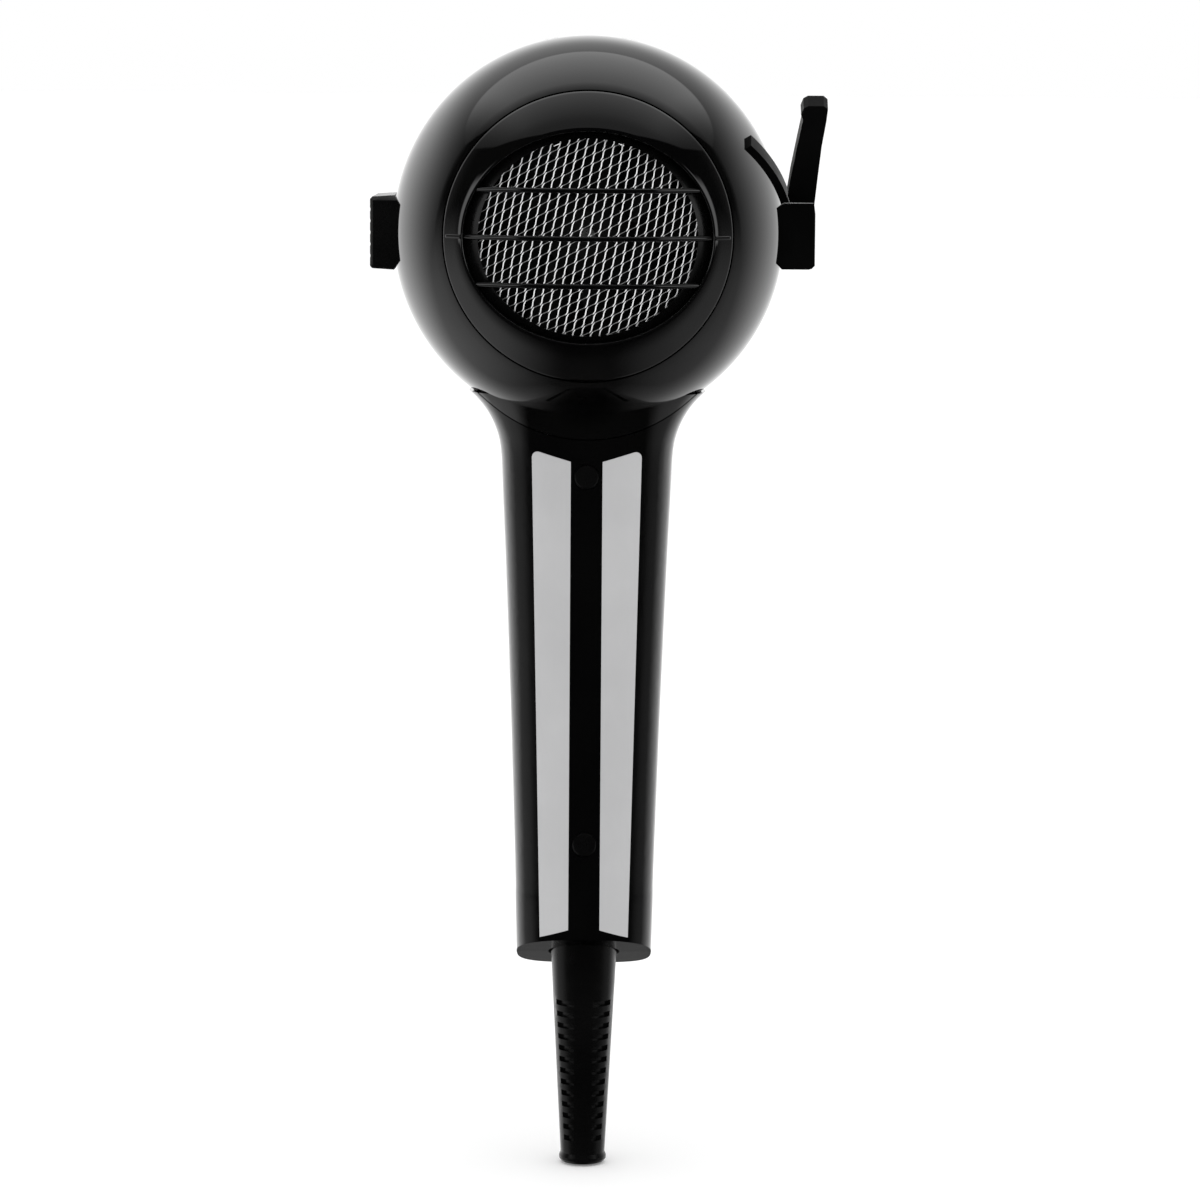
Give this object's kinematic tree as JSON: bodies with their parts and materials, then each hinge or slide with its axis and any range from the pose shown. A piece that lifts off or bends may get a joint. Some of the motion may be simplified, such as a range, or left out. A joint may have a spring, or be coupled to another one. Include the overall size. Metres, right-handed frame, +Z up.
{
  "type": "hair dryer",
  "caption": "Compact travel hair dryer: glossy ball-shaped head, mesh rear intake, side knob and swivel clip, straight tapered handle, ribbed cord sleeve.",
  "frame": {"origin": "centre of the outlet collar's mouth", "axes": "+Y the way the air leaves, along the collar's axis; +Z up, along the handle; +X the clip's side"},
  "size_m": [0.0982, 0.1484, 0.2511],
  "materials": {
    "gloss_black": "high gloss moulded",
    "matte_black": "fine moulded texture",
    "inlay_grey": "satin light grey",
    "mesh_steel": "bright expanded metal",
    "screw_steel": "zinc plated",
    "sleeve_black": "soft satin",
    "duct_grey": "moulded",
    "fan_black": "moulded",
    "motor_steel": "drawn steel",
    "magnet": "sintered ferrite",
    "copper": "enamelled copper",
    "mica": "laminated mica",
    "nichrome": "drawn wire",
    "board": "coated laminate",
    "cap_plastic": "moulded",
    "lead_pvc": "extruded",
    "switch_plastic": "moulded"
  },
  "bodies": {
    "housing": {"rear_shell": "gloss_black", "front_shell": "gloss_black", "handle_rear_cover": "gloss_black", "inlay_left": "inlay_grey", "inlay_right": "inlay_grey", "screw_plugs": "matte_black", "handle_screws": "screw_steel", "selector_switch": "switch_plastic", "clip_pin": "screw_steel", "clip_retainer": "screw_steel", "cord_sleeve": "sleeve_black", "cord_clamp": "duct_grey", "rocker_switch": "switch_plastic", "cool_switch": "switch_plastic", "cool_spring": "screw_steel", "fan_duct": "duct_grey", "motor_damper": "sleeve_black", "motor_can": "motor_steel", "motor_magnets": "magnet", "motor_end_cap": "switch_plastic", "mica_cross": "mica", "heater_coil": "nichrome", "mica_tube": "mica", "heater_end_plate": "mica", "thermostat": "motor_steel", "thermal_fuse": "motor_steel", "outlet_grille": "matte_black", "rectifier_board": "board", "rectifier_diodes": "switch_plastic", "suppressor_capacitor": "cap_plastic", "handle_leads": "lead_pvc"},
    "intake": {"intake_ring": "gloss_black", "mesh_frame": "matte_black", "intake_mesh": "mesh_steel"},
    "selector": {"selector_knob": "matte_black", "selector_shaft": "switch_plastic"},
    "clip": {"side_clip": "matte_black"},
    "rocker": {"rocker": "matte_black"},
    "cool_button": {"cool_button": "matte_black"},
    "rotor": {"motor_armature": "copper", "motor_shaft": "motor_steel", "fan_impeller": "fan_black"}
  },
  "joints": [
    {"name": "fan_spin", "type": "hinge", "parent": "housing", "child": "rotor", "pos_m": [0, -0.106, 0], "axis": [0, 1, 0], "continuous": true},
    {"name": "selector_turn", "type": "hinge", "parent": "housing", "child": "selector", "pos_m": [-0.044, -0.106, 0], "axis": [1, 0, 0], "range_deg": [-60, 60]},
    {"name": "clip_swivel", "type": "hinge", "parent": "housing", "child": "clip", "pos_m": [0.045, -0.106, 0], "axis": [1, 0, 0], "range_deg": [-112, 50]},
    {"name": "intake_pull", "type": "slide", "parent": "housing", "child": "intake", "axis": [0, -1, 0], "range_m": [0, 0.012]},
    {"name": "rocker_tilt", "type": "hinge", "parent": "housing", "child": "rocker", "pos_m": [0, -0.09258, -0.066], "axis": [1, 0, 0], "range_deg": [-7, 7]},
    {"name": "cool_press", "type": "slide", "parent": "housing", "child": "cool_button", "axis": [0, -1, 0], "range_m": [0, 0.0014], "stiffness_N_per_m": 600, "springref_m": -0.0005}
  ]
}
